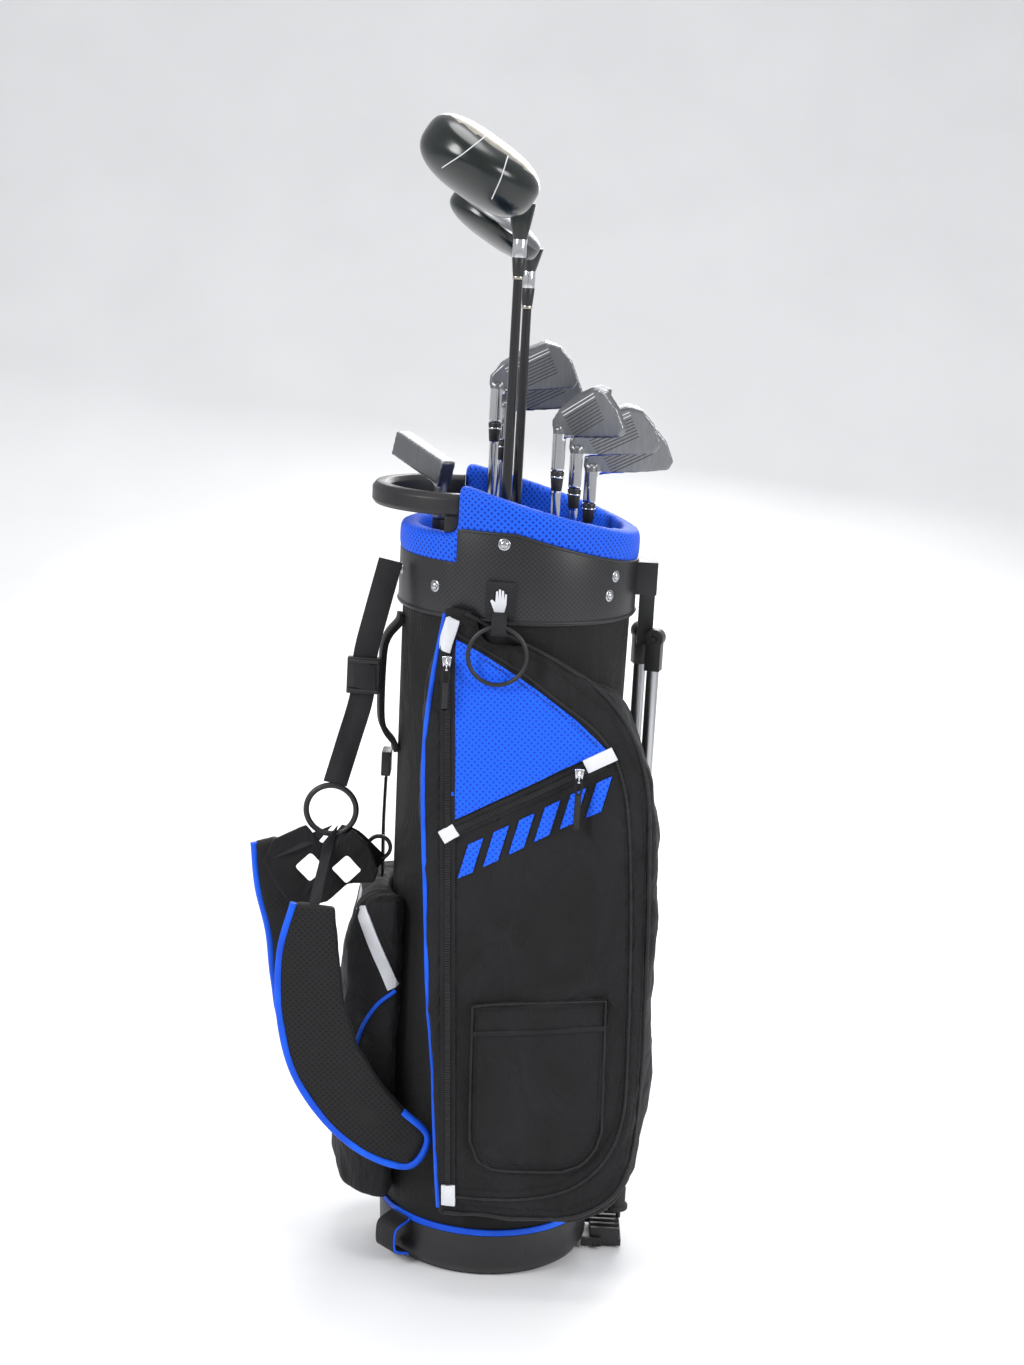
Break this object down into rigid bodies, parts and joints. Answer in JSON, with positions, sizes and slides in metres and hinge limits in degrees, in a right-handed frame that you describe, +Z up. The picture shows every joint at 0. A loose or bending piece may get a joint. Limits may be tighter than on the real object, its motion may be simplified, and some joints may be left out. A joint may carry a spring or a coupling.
{
  "type": "stand golf bag with clubs",
  "caption": "Upright stand bag with padded rim, folding legs, pockets and carry strap, holding a set of golf clubs that lift out.",
  "frame": {"origin": "centre of the base's underside, on the floor", "axes": "+Z up along the bag, +X towards the folding legs, -Y towards the large front pocket"},
  "size_m": [0.4314, 0.3004, 1.1966],
  "materials": {
    "black_moulding": "lightly textured moulded plastic",
    "embossed_cuff": "embossed with small cells, soft sheen",
    "black_fabric": "plain woven polyester with a soft sheen",
    "black_mesh": "padded air mesh",
    "blue_mesh": "open air mesh over foam",
    "blue_piping": "woven edge piping",
    "webbing": "ribbed woven webbing",
    "zipper": "coil zipper tape",
    "bright_steel": "polished",
    "rubber": "matt",
    "grip_rubber": "fine cord pattern",
    "graphite": "gloss lacquer over carbon fibre",
    "shaft_steel": "polished",
    "crown": "gloss lacquer",
    "head_steel": "satin brushed",
    "leg_alloy": "satin anodised",
    "stay_rod": "drawn"
  },
  "bodies": {
    "bag": {"base_sole": "rubber", "base_cup": "black_moulding", "tube_shell": "black_fabric", "base_piping": "blue_piping", "stay_rods": "stay_rod", "top_cuff": "embossed_cuff", "rim_pad": "blue_mesh", "divider_cross": "black_fabric", "divider_curtains": "black_fabric", "lift_handle": "black_moulding", "cuff_rivets": "bright_steel", "glove_tab": "webbing", "front_pocket": "black_fabric", "patch_pocket": "black_fabric", "ball_pocket": "black_fabric", "zipper_tapes": "zipper", "stand_bracket": "black_moulding", "strap_webbing": "webbing", "strap_hardware": "black_moulding", "strap_ring": "black_moulding", "strap_yoke": "black_fabric", "shoulder_pad_front": "black_mesh", "shoulder_pad_rear": "black_mesh", "spine_handle": "black_mesh", "grab_loop": "webbing"},
    "driver": {"driver_head": "crown", "driver_shaft": "graphite", "driver_grip": "grip_rubber"},
    "fairway": {"fairway_head": "crown", "fairway_shaft": "graphite", "fairway_grip": "grip_rubber"},
    "iron_4": {"iron_4_head": "head_steel", "iron_4_shaft": "shaft_steel", "iron_4_grip": "grip_rubber"},
    "iron_5": {"iron_5_head": "head_steel", "iron_5_shaft": "shaft_steel", "iron_5_grip": "grip_rubber"},
    "iron_6": {"iron_6_head": "head_steel", "iron_6_shaft": "shaft_steel", "iron_6_grip": "grip_rubber"},
    "iron_7": {"iron_7_head": "head_steel", "iron_7_shaft": "shaft_steel", "iron_7_grip": "grip_rubber"},
    "iron_8": {"iron_8_head": "head_steel", "iron_8_shaft": "shaft_steel", "iron_8_grip": "grip_rubber"},
    "putter": {"putter_head": "head_steel", "putter_shaft": "shaft_steel", "putter_grip": "grip_rubber"},
    "leg_front": {"leg_front": "leg_alloy", "leg_front_hub": "black_moulding", "leg_front_foot": "rubber"},
    "leg_rear": {"leg_rear": "leg_alloy", "leg_rear_hub": "black_moulding", "leg_rear_foot": "rubber"},
    "push_rod": {"push_rod": "black_moulding"},
    "stand_foot": {"stand_foot": "black_moulding"},
    "towel_ring": {"towel_ring": "black_moulding"},
    "long_zip_slider": {"long_zip_slider": "bright_steel"},
    "short_zip_slider": {"short_zip_slider": "bright_steel"}
  },
  "joints": [
    {"name": "driver_lift", "type": "slide", "parent": "bag", "child": "driver", "axis": [0, 0, 1], "range_m": [0, 0.85]},
    {"name": "fairway_lift", "type": "slide", "parent": "bag", "child": "fairway", "axis": [0, 0, 1], "range_m": [0, 0.85]},
    {"name": "iron_4_lift", "type": "slide", "parent": "bag", "child": "iron_4", "axis": [0, 0, 1], "range_m": [0, 0.85]},
    {"name": "iron_5_lift", "type": "slide", "parent": "bag", "child": "iron_5", "axis": [0, 0, 1], "range_m": [0, 0.85]},
    {"name": "iron_6_lift", "type": "slide", "parent": "bag", "child": "iron_6", "axis": [0, 0, 1], "range_m": [0, 0.85]},
    {"name": "iron_7_lift", "type": "slide", "parent": "bag", "child": "iron_7", "axis": [0, 0, 1], "range_m": [0, 0.85]},
    {"name": "iron_8_lift", "type": "slide", "parent": "bag", "child": "iron_8", "axis": [0, 0, 1], "range_m": [0, 0.85]},
    {"name": "putter_lift", "type": "slide", "parent": "bag", "child": "putter", "axis": [0, 0, 1], "range_m": [0, 0.76]},
    {"name": "leg_front_swing", "type": "hinge", "parent": "bag", "child": "leg_front", "pos_m": [0.146, -0.014, 0.68], "axis": [-0.2588, -0.9659, 0], "range_deg": [0, 26]},
    {"name": "leg_rear_swing", "type": "hinge", "parent": "bag", "child": "leg_rear", "pos_m": [0.134, 0.022, 0.68], "axis": [0.2588, -0.9659, 0], "range_deg": [0, 26]},
    {"name": "push_rod_rise", "type": "slide", "parent": "bag", "child": "push_rod", "axis": [0, 0, 1], "range_m": [0, 0.016]},
    {"name": "stand_foot_rock", "type": "hinge", "parent": "bag", "child": "stand_foot", "pos_m": [0.125, 0.001, 0.007], "axis": [0, -1, 0], "range_deg": [0, 8]},
    {"name": "towel_ring_swing", "type": "hinge", "parent": "bag", "child": "towel_ring", "pos_m": [-0.016, -0.138, 0.705], "axis": [-1, 0, 0], "range_deg": [0, 60]},
    {"name": "long_zip_run", "type": "slide", "parent": "bag", "child": "long_zip_slider", "axis": [0.0523, -0.0523, -0.9973], "range_m": [0, 0.49]},
    {"name": "short_zip_run", "type": "slide", "parent": "bag", "child": "short_zip_slider", "axis": [-0.8852, -0.0244, -0.4646], "range_m": [0, 0.13]}
  ],
  "couplings": [
    {"joint": "leg_rear_swing", "follows": "leg_front_swing", "ratio": 1},
    {"joint": "push_rod_rise", "follows": "leg_front_swing", "m_per_rad": 0.035},
    {"joint": "stand_foot_rock", "follows": "leg_front_swing", "ratio": 0.3}
  ]
}
